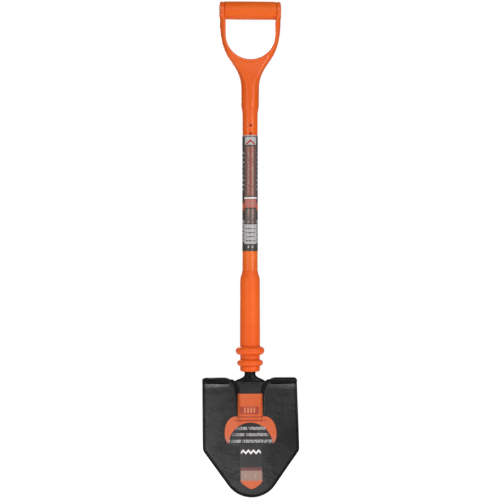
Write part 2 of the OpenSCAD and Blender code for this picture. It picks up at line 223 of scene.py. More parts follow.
def turned(name, profile, material, axis="Z", around=128, centre=(0, 0, 0)):
    """Lathe piece from a closed profile of (radius, level) points, turned round an axis."""
    radius, level = np.asarray(profile, float).T
    angles = np.linspace(0, 2 * math.pi, around, endpoint=False)[:, None]
    first, second = np.cos(angles) * radius, np.sin(angles) * radius
    up = np.broadcast_to(level, first.shape)
    order = {"X": (up, first, second), "Y": (first, -up, second), "Z": (first, second, up)}[axis]
    points = np.stack(order, axis=2).reshape(-1, 3) + centre
    n = len(radius)
    faces = []
    for i in range(around):
        a, b = i * n, (i + 1) % around * n
        faces += [(a + j, b + j, b + (j + 1) % n, a + (j + 1) % n) for j in range(n)]
    return face_outwards(add_mesh(name, points, faces, material))


def face_outwards(piece):
    """Turns a closed mesh's faces so that they all look outwards."""
    mesh = bmesh.new()
    mesh.from_mesh(piece.data)
    bmesh.ops.remove_doubles(mesh, verts=mesh.verts, dist=1e-6)
    bmesh.ops.recalc_face_normals(mesh, faces=mesh.faces)
    mesh.to_mesh(piece.data)
    mesh.free()
    return piece


def sheet(name, front, back, material):
    """Closed sheet from two grids of points, stitched together along their borders."""
    rows, columns = front.shape[:2]
    at = np.arange(rows * columns).reshape(rows, columns)
    quads = np.stack([at[:-1, :-1], at[:-1, 1:], at[1:, 1:], at[1:, :-1]], axis=-1)
    quads = quads.reshape(-1, 4)
    ring = np.concatenate([at[0, :-1], at[:-1, -1], at[-1, :0:-1], at[:0:-1, 0]])
    after = np.roll(ring, -1)
    rim = np.stack([ring, ring + at.size, after + at.size, after], axis=1)
    points = np.concatenate([front.reshape(-1, 3), back.reshape(-1, 3)])
    faces = np.concatenate([quads, quads[:, ::-1] + at.size, rim])
    return face_outwards(add_mesh(name, points, faces, material))


def mark_edges(piece):
    """Stores how convex (edge) and how hollow (hollow) a mesh is at each point, from 0 to 1."""
    mesh = piece.data
    count = len(mesh.vertices)
    points, normals = np.empty(count * 3), np.empty(count * 3)
    pairs = np.empty(len(mesh.edges) * 2, dtype=int)
    mesh.vertices.foreach_get("co", points)
    mesh.vertex_normals.foreach_get("vector", normals)
    mesh.edges.foreach_get("vertices", pairs)
    points, normals, pairs = points.reshape(-1, 3), normals.reshape(-1, 3), pairs.reshape(-1, 2)
    bend, share = np.zeros(count), np.zeros(count)
    for a, b in (pairs.T, pairs.T[::-1]):
        way = points[b] - points[a]
        length = np.maximum(np.linalg.norm(way, axis=1), 1e-9)
        np.add.at(bend, a, -(way * normals[a]).sum(1) / length)
        np.add.at(share, a, 1)
    bend /= np.maximum(share, 1)
    for name, value in (("edge", smooth(0.05, 0.3, bend)), ("hollow", smooth(0.05, 0.3, -bend))):
        mesh.attributes.new(name, "FLOAT", "POINT").data.foreach_set("value", value)
    return piece


# --- Materials -----------------------------------------------------------------------


class Recipe:
    """Shader nodes of one material, put together from small steps."""

    def __init__(self, name, specular=0.5, metallic=0.0):
        self.material = bpy.data.materials.new(name)
        self.material.use_nodes = True
        self.tree = self.material.node_tree
        self.shader = self.tree.nodes["Principled BSDF"]
        self.shader.inputs["Specular IOR Level"].default_value = specular
        self.shader.inputs["Metallic"].default_value = metallic
        self.place = self.add("ShaderNodeTexCoord").outputs["Object"]

    def add(self, kind, *values, **settings):
        """New node with its settings, and values or links for its first inputs."""
        node = self.tree.nodes.new(kind)
        for key, value in settings.items():
            setattr(node, key, value)
        for socket, value in zip(node.inputs, values):
            self.feed(socket, value)
        return node

    def feed(self, socket, value):
        """Links an output to a socket, or sets the socket's own value."""
        if isinstance(value, bpy.types.NodeSocket):
            self.tree.links.new(value, socket)
        elif value is not None:
            socket.default_value = (*value, 1) if socket.type == "RGBA" else value

    def give(self, name, value):
        """Feeds one of the surface shader's inputs."""
        self.feed(self.shader.inputs[name], value)

    def math(self, operation, *values):
        """Result of a sum on values or links."""
        return self.add("ShaderNodeMath", *values, operation=operation).outputs[0]

    def times(self, *values):
        """Product of two or more values or links."""
        product = values[0]
        for value in values[1:]:
            product = self.math("MULTIPLY", product, value)
        return product

    def noise(self, scale, detail=4.0, stretch=None, rough=0.55):
        """Noise with features of about 1 / scale metres, which stretch can draw out."""
        place = self.place
        if stretch:
            mapping = self.add("ShaderNodeMapping", place)
            mapping.inputs["Scale"].default_value = stretch
            place = mapping.outputs[0]
        node = self.add("ShaderNodeTexNoise", place)
        for key, value in (("Scale", scale), ("Detail", detail), ("Roughness", rough)):
            node.inputs[key].default_value = value
        return node.outputs[0]

    def span(self, value, low, high, out_low=0.0, out_high=1.0):
        """Smooth step of a value from one range to another."""
        values = (value, low, high, out_low, out_high)
        node = self.add("ShaderNodeMapRange", *values, interpolation_type="SMOOTHSTEP")
        return node.outputs[0]

    def mix(self, share, a, b):
        """Colour from a to b."""
        node = self.add("ShaderNodeMix", data_type="RGBA")
        for socket, value in ((0, share), (6, a), (7, b)):
            self.feed(node.inputs[socket], value)
        return node.outputs[2]

    def mark(self, name):
        """Value stored on the mesh by mark_edges."""
        return self.add("ShaderNodeAttribute", attribute_name=name).outputs["Fac"]

    def relief(self, *layers):
        """Bump from (height, distance in metres) layers, one on top of the other."""
        normal = None
        for height, distance in layers:
            node = self.add("ShaderNodeBump")
            node.inputs["Strength"].default_value = 1.0
            node.inputs["Distance"].default_value = distance
            self.feed(node.inputs["Height"], height)
            if normal:
                self.feed(node.inputs["Normal"], normal)
            normal = node.outputs[0]
        self.give("Normal", normal)

    def axes(self):
        """X, Y and Z of the place, in metres."""
        return self.add("ShaderNodeSeparateXYZ", self.place).outputs

    def window(self, value, low, high):
        """1 between two limits, else 0."""
        return self.math("COMPARE", value, (low + high) / 2, (high - low) / 2)

    def box(self, u, v, u_low, u_high, v_low, v_high):
        """1 inside a rectangle of a graphic, in millimetres, else 0."""
        across = self.window(u, u_low * MM, u_high * MM)
        return self.times(across, self.window(v, v_low * MM, v_high * MM))

    def blocks(self, place, pitch, seed, share):
        """Uneven blocks along a strip: steps of pitch millimetres, of which share stay empty."""
        step = self.math("FLOOR", self.math("DIVIDE", place, pitch * MM))
        return self.draw(self.math("ADD", step, seed), share)

    def draw(self, number, share):
        """1 or 0 drawn at random for a whole number, with a share of 0."""
        node = self.add("ShaderNodeTexWhiteNoise", noise_dimensions="1D")
        self.feed(node.inputs["W"], number)
        return self.math("GREATER_THAN", node.outputs["Value"], share)

    def dashes(self, u, v, v_mid, height, half_width, pitch, seed, share):
        """A row of uneven dashes, in millimetres, that stands for a line of print."""
        row = self.box(u, v, -half_width, half_width, v_mid - height / 2, v_mid + height / 2)
        return self.times(self.blocks(u, pitch, seed, share), row)

    def small_print(self, u, v, v_mid, height, half_width, pitch, seed, share):
        """A line of small print: two rows of dashes that hardly touch."""
        rows = []
        for side, size in ((1, pitch), (-1, pitch * 1.2)):
            level, part = v_mid + side * height / 4, height * 0.42
            rows.append(self.dashes(u, v, level, part, half_width, size, seed + side, share))
        return self.math("MAXIMUM", *rows)

    def paragraph(self, u, v, v_low, v_high, half_width, leading, pitch, seed, share=0.3):
        """Rows of small print, in millimetres: dashes that differ from row to row."""
        row = self.math("FLOOR", self.math("DIVIDE", v, leading * MM))
        level = self.math("SUBTRACT", v, self.times(row, leading * MM))
        step = self.math("FLOOR", self.math("DIVIDE", u, pitch * MM))
        place = self.math("ADD", step, self.times(row, 57.3))
        filled = self.draw(self.math("ADD", place, seed), share)
        line = self.window(level, leading * 0.3 * MM, leading * 0.65 * MM)
        block = self.box(u, v, -half_width, half_width, v_low, v_high)
        return self.times(filled, line, block)


def tinted(colour, factor, lift=0.0):
    """A colour made darker or paler."""
    return tuple(min(1, c * factor + lift) for c in colour)


def plastic(name, colour, pale, rough=(0.36, 0.5), grain=1100, streaks=0.0, specular=0.4):
    """Self-coloured satin plastic: cloudy tint, rubbed streaks, fine mould grain, and painted shade
    in its hollows.
    """
    r = Recipe(name, specular=specular)
    cloud = r.span(r.noise(14, 3), 0.35, 0.68)
    fleck = r.span(r.noise(420, 2), 0.3, 0.75)
    tint = r.mix(r.times(cloud, 0.75), colour, pale)
    tint = r.mix(r.times(fleck, 0.16), tint, tinted(colour, 0.72))
    rub = r.span(r.noise(70, 7, stretch=(1, 1, 0.1), rough=0.7), 0.62, 0.72)
    tint = r.mix(r.times(rub, 0.2), tint, tinted(pale, 1.05, 0.03))
    # Painted shade: darker where the surface is hollow, in creases and recesses
    tint = r.mix(r.times(r.mark("hollow"), 0.45), tint, tinted(colour, 0.45))
    worn = r.times(r.mark("edge"), r.span(r.noise(120, 5), 0.4, 0.7))
    tint = r.mix(r.times(worn, 0.3), tint, tinted(pale, 1.05, 0.08))
    r.give("Base Color", tint)
    patch = r.span(r.noise(38, 6), 0.3, 0.7, rough[0], rough[1])
    r.give("Roughness", r.math("ADD", patch, r.times(rub, 0.12)))
    layers = [(r.noise(grain, 3), 0.00012), (r.noise(90, 2), 0.0004)]
    if streaks:
        layers.append((r.noise(700, 3, stretch=(1, 1, 0.004)), streaks))
    r.relief(*layers)
    return r.material


def black_coat(name, colour, worn_share, specular, peel=420, rough=(0.22, 0.34)):
    """Black baked coating on steel: orange peel, dull patches, scratches and worn edges."""
    r = Recipe(name, specular=specular)
    steel = (0.16, 0.16, 0.165)
    cloud = r.span(r.noise(16, 5), 0.3, 0.7)
    tint = r.mix(cloud, colour, tinted(colour, 1.5))
    dust = r.span(r.noise(210, 7, rough=0.75), 0.55, 0.78)
    tint = r.mix(r.times(dust, 0.13), tint, (0.11, 0.105, 0.1))
    fine = r.span(r.noise(46, 9, stretch=(1, 1, 0.09), rough=0.8), 0.66, 0.7)
    tint = r.mix(r.times(fine, 0.3), tint, (0.12, 0.12, 0.12))
    bare = r.times(r.mark("edge"), r.span(r.noise(150, 6), 0.42, 0.62), worn_share)
    r.give("Base Color", r.mix(bare, tint, steel))
    r.give("Metallic", r.times(bare, 0.8))
    patch = r.span(r.noise(30, 6), 0.3, 0.7, rough[0], rough[1])
    r.give("Roughness", r.math("ADD", patch, r.times(dust, 0.12)))
    r.relief((r.noise(peel, 2), 0.00022), (r.noise(60, 3), 0.0006), (fine, 0.00003))
    return r.material


def seal_rubber():
    """Dull black rubber with a dusty bloom."""
    r = Recipe("seal_rubber", specular=0.3)
    bloom = r.span(r.noise(130, 6), 0.4, 0.75)
    r.give("Base Color", r.mix(bloom, (0.012, 0.012, 0.012), (0.035, 0.034, 0.033)))
    r.give("Roughness", r.span(r.noise(90, 4), 0.3, 0.7, 0.6, 0.78))
    r.relief((r.noise(900, 4), 0.0001))
    return r.material


def fibre_rod():
    """Ground glass-fibre rod with its strands along the length."""
    r = Recipe("fibre_rod", specular=0.45)
    strands = r.noise(1400, 4, stretch=(1, 1, 0.01))
    r.give("Base Color", r.mix(r.span(strands, 0.35, 0.65), (0.52, 0.47, 0.28), (0.72, 0.68, 0.48)))
    r.give("Roughness", r.span(strands, 0.3, 0.7, 0.4, 0.6))
    r.relief((strands, 0.00015))
    return r.material


def rivet_steel():
    """Zinc-plated rivet wire with drawn lines and dull spots."""
    r = Recipe("rivet_steel", metallic=1.0)
    lines = r.noise(1200, 4, stretch=(1, 0.02, 1))
    dull = r.span(r.noise(300, 4), 0.4, 0.7)
    r.give("Base Color", r.mix(dull, (0.6, 0.6, 0.61), (0.44, 0.44, 0.46)))
    r.give("Roughness", r.span(lines, 0.3, 0.7, 0.28, 0.46))
    r.relief((lines, 0.00008))
    return r.material


# Inks and fields of the two prints
INK_BLACK = (0.012, 0.011, 0.011)
INK_GREY = (0.36, 0.34, 0.34)
INK_WHITE = (0.74, 0.71, 0.7)
INK_ORANGE = (0.57, 0.1, 0.024)
INK_RED = (0.34, 0.045, 0.02)
INK_CREAM = (0.305, 0.183, 0.145)
INK_PALE = (0.43, 0.41, 0.415)
INK_SLATE = (0.1, 0.095, 0.1)
INK_PEACH = (0.62, 0.2, 0.09)
INK_SAND = (0.36, 0.27, 0.23)
INK_DUSK = (0.34, 0.16, 0.15)
INK_MAROON = (0.13, 0.035, 0.035)
FIELD_CHARCOAL = (0.045, 0.036, 0.032)
FIELD_BROWN = (0.13, 0.075, 0.063)
FIELD_BRICK = (0.24, 0.075, 0.06)
FIELD_ROSE = (0.44, 0.13, 0.105)
FIELD_UMBER = (0.1, 0.075, 0.07)


class Print(Recipe):
    """A laminated print, painted field by field on a ground colour."""

    def __init__(self, name, ground, specular):
        super().__init__(name, specular=specular)
        self.colour = ground

    def paint(self, ink, *masks):
        """Lays an ink over what is there, where all the masks are 1."""
        self.colour = self.mix(self.times(*masks), self.colour, ink)

    def finished(self):
        """Material with the film's soft wrinkles, fine rubs and slightly uneven gloss."""
        rub = self.span(self.noise(120, 8, rough=0.75), 0.58, 0.72)
        self.give("Base Color", self.mix(self.times(rub, 0.14), self.colour, (0.3, 0.28, 0.27)))
        self.give("Roughness", self.span(self.noise(60, 6), 0.3, 0.7, 0.3, 0.46))
        self.relief((self.noise(900, 3), 0.00006), (self.noise(45, 3), 0.0005))
        return self.material


def printed_wrap():
    """Generic print of the shaft's wrap label: strips, panels and rows of dashes."""
    r = Print("printed_wrap", FIELD_CHARCOAL, 0.5)
    x, y, z = r.axes()
    film_r = 16.3
    u = r.times(r.math("ARCTAN2", x, r.times(y, -1.0)), film_r * MM)

    # A band round the top, then small print and panels on both sides
    r.paint(INK_GREY, r.box(u, z, -60, 60, -264.5, -262))
    for side in (-1, 1):
        aside = r.math("ADD", u, -side * 27 * MM)
        r.paint(INK_GREY, r.paragraph(aside, z, -380, -296, 12, 9.5, 1.0, 11 + 40 * side))
        r.paint(INK_ORANGE, r.box(aside, z, -12, 12, -420, -404))
        r.paint(INK_GREY, r.box(aside, z, -12, 12, -486, -440))
        r.paint(INK_BLACK, r.paragraph(aside, z, -484, -443, 10, 8.5, 1.0, 60 + side))

    # Front: a chevron on a pale square, then a long strip with two columns of print
    fold = r.math("ADD", z, r.times(r.math("ABSOLUTE", u), 0.9))
    chevron = r.window(fold, -0.2755, -0.2705)
    r.paint(INK_PALE, r.box(u, z, -13, 13, -282, -266))
    r.paint(INK_RED, r.box(u, z, -10, 10, -281, -267), chevron)
    r.paint(FIELD_BROWN, r.box(u, z, -14, 14, -391, -284))
    r.paint(FIELD_BRICK, r.box(u, z, -7.4, 7.4, -389, -286))
    for side in (-1, 1):
        column = r.box(u, z, side * 4.2 - 1.7, side * 4.2 + 1.7, -387, -288)
        r.paint(INK_CREAM, column, r.blocks(z, 1.5, 5 + side, 0.22))
    middle = r.box(u, z, -0.9, 0.9, -385, -290)
    r.paint(INK_RED, middle, r.blocks(z, 2.3, 12, 0.5))

    # Front, lower down: a white rule, a rose panel, a dark panel and a pale one
    r.paint(INK_WHITE, r.box(u, z, -15, 15, -395.5, -392))
    r.paint(FIELD_ROSE, r.box(u, z, -14, 14, -414, -396.5))
    r.paint(INK_CREAM, r.dashes(u, z, -405.5, 4, 9.5, 1.3, 31, 0.3))
    r.paint(FIELD_UMBER, r.box(u, z, -13, 13, -447, -416))
    for side in (-1, 1):
        column = r.box(u, z, side * 4.4 - 2, side * 4.4 + 2, -446, -417)
        r.paint(INK_CREAM, column, r.blocks(z, 1.4, 15 + side, 0.25))
    r.paint(INK_PALE, r.box(u, z, -14.5, 14.5, -490, -449))
    r.paint(INK_SLATE, r.paragraph(u, z, -487, -452, 10.5, 8.4, 0.9, 7))
    for side in (-1, 1):
        aside = r.math("ADD", u, -side * 4.5 * MM)
        r.paint(INK_GREY, r.dashes(aside, z, -496, 5, 2.6, 0.9, 50 + side, 0.3))
    return r.finished()


def printed_sticker():
    """Generic print of the blade's label: orange arch, rows of dashes, zigzag and panels."""
    r = Print("printed_sticker", INK_BLACK, 0.4)
    x, _, z = r.axes()

    # Tab: orange with a dark band of upright bars
    r.paint(INK_ORANGE, r.box(x, z, -26, 26, -852, -800))
    r.paint(INK_RED, r.box(x, z, -21.5, 18, -847, -831))
    r.paint(INK_PEACH, r.box(x, z, -19, 16, -844, -833), r.blocks(x, 3.3, 17, 0.5))

    # Body: an orange arch, fading at its ends, over a black field with three lines
    arch_foot, arch_rise, arch_half = -0.912, 0.0475, 0.0465
    lift = r.math("ABSOLUTE", r.math("DIVIDE", r.math("ADD", z, -arch_foot), arch_rise))
    reach = r.math("DIVIDE", r.math("ABSOLUTE", x), arch_half)
    round_sum = r.math("ADD", r.math("POWER", lift, 2.0), r.math("POWER", reach, 2.0))
    outside = r.math("GREATER_THAN", round_sum, 1.0)
    body = r.box(x, z, -60, 60, -914, -852)
    r.paint(INK_ORANGE, outside, body)
    r.paint(INK_RED, r.box(x, z, -30, 30, -854, -851.5))
    r.paint(INK_RED, r.box(x, z, -32, 32, -862, -858.5))
    r.paint(INK_DUSK, outside, body, r.span(z, arch_foot, -0.886, 0.6, 0.0))
    for level, half, seed in ((-876.5, 31, 3), (-889.5, 37, 8), (-903, 45, 14)):
        r.paint(INK_GREY, r.small_print(x, z, level, 6.4, half, 1.1, seed, 0.2))

    # Tail: a zigzag, a maroon bar, a cream panel and an orange tip
    fold = r.math("PINGPONG", r.math("ADD", x, 0.0215), 0.0054)
    ridge = r.math("ADD", z, r.times(fold, -1.1))
    zigzag = r.window(ridge, -0.9305, -0.9255)
    r.paint(INK_WHITE, r.box(x, z, -21, 21, -936, -916), zigzag)
    r.paint(INK_MAROON, r.box(x, z, -22.5, 22.5, -963.5, -957))
    r.paint(INK_CREAM, r.box(x, z, -22.5, 22.5, -984, -963.5))
    r.paint(INK_SAND, r.dashes(x, z, -973.5, 7, 18, 3.4, 23, 0.55))
    r.paint(INK_ORANGE, r.box(x, z, -24, 24, -1010, -984))
    return r.finished()


# --- Hilt ----------------------------------------------------------------------------

# Sizes and levels in millimetres, from the grip's axis down
HILT_HALF_W = 64.2
SOCKET_R = 18.6
SHAFT_R = 16.0
CORE_BORE_R = 12.8  # hole for the core rod in the hilt and the cladding
GRIP_BORE_R = 8.1  # hole for the grip's rod in the bosses and the grip
HILT_END = -274.0
OPENING_R, OPENING_DROP = 52.5, 50.6
PIN_LEVELS = (-241.5, -258.7)


def hilt_radius_table():
    """Rows of (level, radius) of the hilt's front outline, from its top to its lower end."""
    waist, web_end, socket_end = (41.8, -105.5), (SOCKET_R + 0.4, -160), (SOCKET_R - 0.1, -199)
    outline = np.concatenate([
        bezier((HILT_HALF_W, -24), (HILT_HALF_W - 0.8, -60), (57.5, -84), waist),
        bezier(waist, (31.2, -120.5), (SOCKET_R + 0.8, -138), web_end),
        bezier(socket_end, (SOCKET_R - 0.2, -208), (SHAFT_R, -210), (SHAFT_R, -219)),
    ])
    return [(z, x) for x, z in outline] + [(40, HILT_HALF_W), (-400, SHAFT_R)]


def hilt_depth_table():
    """Rows of (level, half depth) of the hilt's flattened front and back."""
    side = bezier((14, -50), (14, -80), (SOCKET_R - 1.4, -110), (SOCKET_R - 0.7, -140))
    ends = [(-190, SOCKET_R + 0.14), (-220, SOCKET_R + 2), (-400, SOCKET_R + 2), (40, 14)]
    return [(z, y) for y, z in side] + ends


HILT_RADIUS = hilt_radius_table()
HILT_DEPTH = hilt_depth_table()
RIM_HALF = [(-140, 17.9), (-108, 17.4), (-85, 15.9), (-60, 15.1), (40, 15.1)]


def hilt_field(x, y, z):
    """Distance to the hilt's surface in millimetres, negative inside."""
    radius = along(HILT_RADIUS, z)
    slope = along(HILT_RADIUS, z + 0.5) - along(HILT_RADIUS, z - 0.5)
    outer = (np.hypot(x, y) - radius) / np.sqrt(1 + slope**2)
    slab = np.abs(y) - along(HILT_DEPTH, z)
    edge = mix(1.0, 9.0, smooth(-150, -95, z))
    body = smax(outer, slab, edge)
    body = smax(body, z - 8, 4)

    # Hand opening with a rolled rim round its sides and bottom
    opening = np.hypot(x, np.minimum(z + OPENING_DROP, 0)) - OPENING_R
    body = smax(body, -opening, 5)
    rim_r = 2.7
    rim = np.hypot(opening - rim_r, np.abs(y) - along(RIM_HALF, z) + rim_r) - rim_r
    rim = smax(rim, z + 20, 4)
    body = smin(body, rim, 2.2)

    # End bosses
    boss_r, inner_x, round_r = 18.5, 54.5, 3.0
    from_middle, from_axis = np.abs(x), np.hypot(y, z)
    side = np.maximum(from_middle - HILT_HALF_W + round_r, inner_x + round_r - from_middle)
    across = from_axis - boss_r + round_r
    boss = np.hypot(np.maximum(side, 0), np.maximum(across, 0)) - round_r
    boss = boss + np.minimum(np.maximum(side, across), 0)
    body = smin(body, boss, 3)

    # Seats of the grip, its rod and the end plugs
    grip_seat_r, plug_seat_r, plug_depth = 19.3, 12.1, 3.0
    body = smax(body, -np.maximum(from_axis - grip_seat_r, from_middle - inner_x), 0.5)
    body = smax(body, GRIP_BORE_R - from_axis, 0.5)
    plug_seat = np.maximum(from_axis - plug_seat_r, HILT_HALF_W - plug_depth - from_middle)
    body = smax(body, -plug_seat, 0.6)

    # Bore of the core rod, cross holes of the pins, and the lower end
    bore_top = -195.9
    body = smax(body, -np.maximum(np.hypot(x, y) - CORE_BORE_R, z - bore_top), 0.5)
    for level in PIN_LEVELS:
        body = smax(body, 3.25 - np.hypot(x, z - level), 0.7)
    return smax(body, HILT_END - z, 0.8)


# --- Grip, plugs and pins ------------------------------------------------------------


def build_grip(grip_material, plug_material):
    """Crowned cross grip with rounded ends, and the two dished plugs that close the bosses."""
    half, radius, crowning = 54.4, 19.18, 0.4
    crown = [(radius - crowning * t**2, half * t) for t in np.linspace(-1, 1, 41)]
    outline = [(GRIP_BORE_R, -half), *crown, (GRIP_BORE_R, half)]
    radii = [0, 1.3] + [0] * (len(crown) - 2) + [1.3, 0]
    tube = turned("grip_tube_body", rounded(outline, radii), grip_material, axis="X")
    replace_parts(tube, "grip_tube")

    cap_r, inner, outer, dish_r = 12.0, HILT_HALF_W - 3, HILT_HALF_W, 10.8
    dished = [(r, outer - 0.85 + 0.8 * (r / dish_r) ** 2) for r in np.linspace(0, dish_r, 9)]
    for side, word in ((-1, "left"), (1, "right")):
        outline = [(0, inner), (cap_r, inner), (cap_r, outer), *dished[::-1]]
        radii = [0, 0.3, 0.6] + [0] * len(dished)
        outline = rounded(outline, radii) * (1, side)
        cap = turned(f"grip_cap_{word}_body", outline, plug_material, axis="X")
        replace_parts(mark_edges(sharpen(cap, 50)), f"grip_cap_{word}")


def build_pins(material):
    """Two moulded cross pins with softened rims and a small dimple at each end."""
    half, radius = SHAFT_R - 0.7, 3.15
    end = [(radius, -2), (radius, 0), (1.3, 0), (0.9, -0.35), (0, -0.45)]
    top = rounded(end, [0, 0.5, 0, 0, 0])
    outline = np.concatenate([top[::-1] * (1, -1) - (0, half), top + (0, half)])
    for word, level in zip(("upper", "lower"), PIN_LEVELS):
        name, centre = f"hilt_pin_{word}_body", (0, 0, level)
        pin = turned(name, outline, material, "Y", 48, centre)
        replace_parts(mark_edges(sharpen(pin, 50)), f"hilt_pin_{word}")


# --- Shaft, sleeve, guard and seal ---------------------------------------------------


def build_shaft(cladding, sleeve, rubber):
    """Clad shaft, flared sleeve, flanged hand guard and the seal at the neck."""
    top, end = HILT_END - 0.1, -571.0
    outline = [(CORE_BORE_R, top), (SHAFT_R, top), (SHAFT_R, end), (CORE_BORE_R, end)]
    outline = rounded(outline, [0, 0.5, 0.5, 0])
    tube = turned("shaft_tube_body", outline, cladding)
    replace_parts(sharpen(tube, 50), "shaft_tube")

    top, flare_r, bottom_r, bottom = -547.0, 20.6, 21.0, -703.9
    flare = bezier((16.6, top), (17.0, top - 8), (flare_r - 0.3, top - 10), (flare_r, top - 19))
    down = np.linspace(0, 1, 12)[1:]
    skirt = [(mix(flare_r, bottom_r, t), mix(top - 19, bottom, t)) for t in down]
    inside = [(17.8, bottom), (17.8, -572), (16.1, -572)]
    outline = [(16.1, top), *flare, *skirt, *inside]
    radii = [0, 0.25] + [0] * (len(flare) + len(skirt) - 2) + [0.5, 0, 0, 0]
    piece = turned("lower_sleeve_body", rounded(outline, radii), sleeve)
    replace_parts(mark_edges(sharpen(piece, 50)), "lower_sleeve")

    across = np.sin(np.linspace(-math.pi / 2, math.pi / 2, 49))
    bulge = (1 - np.abs(across) ** 2.4) ** 0.6

    def flange(centre, half, root, top_r):
        return [(mix(root, top_r, b), centre - half * v) for b, v in zip(bulge, across)]

    lip_r, lip_round, end = 20.8, 4.5, -758.0
    outline = [(17.8, -704.0), (21.0, -704.0), *flange(-714.0, 9.0, 21.0, 29.98), (20.4, -727.0)]
    outline += [*flange(-739.5, 6.8, 20.5, 27.0), (lip_r, -748.3)]
    for a in np.linspace(0, math.pi / 2, 13):
        r, z = lip_r - lip_round * (1 - math.cos(a)), end + lip_round * (1 - math.sin(a))
        outline.append((r, z))
    outline += [(15.6, end), (15.6, -752.9), (12.3, -752.9), (12.3, -751.4), (17.8, -733.0)]
    piece = turned("hand_guard_body", outline, sleeve, around=160)
    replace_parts(mark_edges(sharpen(piece, 50)), "hand_guard")

    ring = [(11.8, -753.0), (15.5, -753.0), (15.5, -757.5), (13.6, -758.6), (11.8, -758.6)]
    ring = rounded(ring, [0, 0.4, 0.8, 0.8, 0])
    piece = turned("neck_seal_body", ring, rubber)
    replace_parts(sharpen(piece, 50), "neck_seal")


def build_wrap(material):
    """Shaft label: a printed film bent round the shaft until its edges nearly meet behind."""
    inner, outer, top, bottom, gap = 16.1, 16.35, -262.0, -505.0, 0.02
    angles = np.linspace(gap, 2 * math.pi - gap, 180)[:, None]
    inside = np.linspace(top - 4, bottom + 4, 40)
    levels = np.array([top, top - 0.3, *inside, bottom + 0.3, bottom])
    sine, cosine, z = np.broadcast_arrays(np.sin(angles), np.cos(angles), levels)
    front, back = (np.stack([r * sine, r * cosine, z], axis=-1) for r in (outer, inner))
    film = sheet("shaft_label_film", front, back, material)
    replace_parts(sharpen(film, 50), "shaft_label")


# --- Blade ---------------------------------------------------------------------------

HEAD_TOP = -771.0  # level of the treads' tops
BLADE_L, BLADE_W = 247.0, 202.5
PLATE_T, PLATE_BACK, TIP_REACH, DISH = 2.4, 12.0, 50.0, 10.0
NECK_R = 11.7
TIP_R, FLANK, CORNER_R, SIDE_L = 61.0, math.radians(36), 18.0, 142.0
LIP = 6.0  # width of the ground edge on the blade's front


def base_y(d):
    """Y of the plate's centre line without its frog, at a drop below the treads' tops."""
    return PLATE_BACK - (PLATE_BACK + TIP_REACH) * mix(d / BLADE_L, (d / BLADE_L) ** 2, 0.33)


def frog(x, d):
    """Forward height of the raised centre of the blade."""
    crest = 0.5 - NECK_R + 4 * smooth(5, 45, d) - 0.04 * d
    half = 18 * np.exp((8 - d) / 14) + mix(30, 17, smooth(70, 140, d))
    rise = base_y(d) - crest
    flat = mix(0.4, 0.62, smooth(5, 35, d))
    height = (rise + np.sqrt(rise * rise + 6)) / 2
    return height * (1 - smooth(flat, 1, np.abs(x) / half))


def face_y(x, z):
    """Y of the blade's front face."""
    d = HEAD_TOP - z
    dish = mix(0.4, 1, smooth(0, 110, d)) * DISH * (x / (BLADE_W / 2)) ** 2
    roll = 5 * np.maximum(0, 1 - d / 26) ** 2 * smooth(30, 50, np.abs(x))
    return base_y(d) + roll - dish - frog(x, d)


def plate_top(x):
    """Top edge of the plate, lower across the frog than under the treads."""
    return mix(-779, HEAD_TOP - 3.3, smooth(29, 38, np.abs(x)))


def plate_bottom(x):
    """Bottom edge of the plate: round tip, straight flanks and rounded side corners."""
    a = np.abs(x)
    tip = HEAD_TOP - BLADE_L
    flank_x, flank_z = TIP_R * math.cos(FLANK), tip + TIP_R * (1 - math.sin(FLANK))
    corner_x = BLADE_W / 2 - CORNER_R
    corner_start = corner_x + CORNER_R * math.cos(FLANK)
    corner_z = flank_z + (corner_start - flank_x) / math.tan(FLANK) + CORNER_R * math.sin(FLANK)
    round_tip = tip + TIP_R - np.sqrt(np.maximum(0, TIP_R**2 - a * a))
    flank = flank_z + (a - flank_x) / math.tan(FLANK)
    corner = corner_z - np.sqrt(np.maximum(0, CORNER_R**2 - (a - corner_x) ** 2))
    return np.where(a < flank_x, round_tip, np.where(a < corner_start, flank, corner))


def side_scale(z):
    """Narrowing of the blade towards the treads."""
    return mix((BLADE_W - 3) / BLADE_W, 1, np.minimum(1, (HEAD_TOP - z) / SIDE_L))


def edge_steps(length, count):
    """Places from 0 to length that crowd together at both ends, for a rounded edge."""
    near = np.array([0, 0.05, 0.2, 0.45, 0.8, 1.2, 1.8, 2.8, 4.2])
    return np.concatenate([near, np.linspace(LIP, length - LIP, count), length - near[::-1]])


def rim_lean(x):
    """Length of the way straight up from the plate's bottom edge per step away from it."""
    steepest, step = 3.0, 0.05
    slope = np.abs(plate_bottom(x + step) - plate_bottom(x - step)) / (2 * step)
    return np.sqrt(1 + np.minimum(slope, steepest) ** 2)


def to_rim(x, z):
    """Distance inwards from the plate's sides, flanks and round tip."""
    return np.minimum(BLADE_W / 2 - np.abs(x), (z - plate_bottom(x)) / rim_lean(x))


def plate_grid():
    """X and Z of the plate's points, in rows that follow its top and bottom edges."""
    xs, rows = edge_steps(BLADE_W, 150) - BLADE_W / 2, 200.0
    height, lean = plate_top(xs) - plate_bottom(xs), rim_lean(xs)
    row = edge_steps(rows, 120)[:, None]
    share = np.clip((row - LIP) / (rows - 2 * LIP), 0, 1)
    drop = LIP + share * (height - LIP - LIP * lean)
    drop = np.where(rows - row < LIP, height - (rows - row) * lean, drop)
    drop = np.where(row < LIP, row, drop)
    return xs * np.ones_like(drop), plate_top(xs) - drop


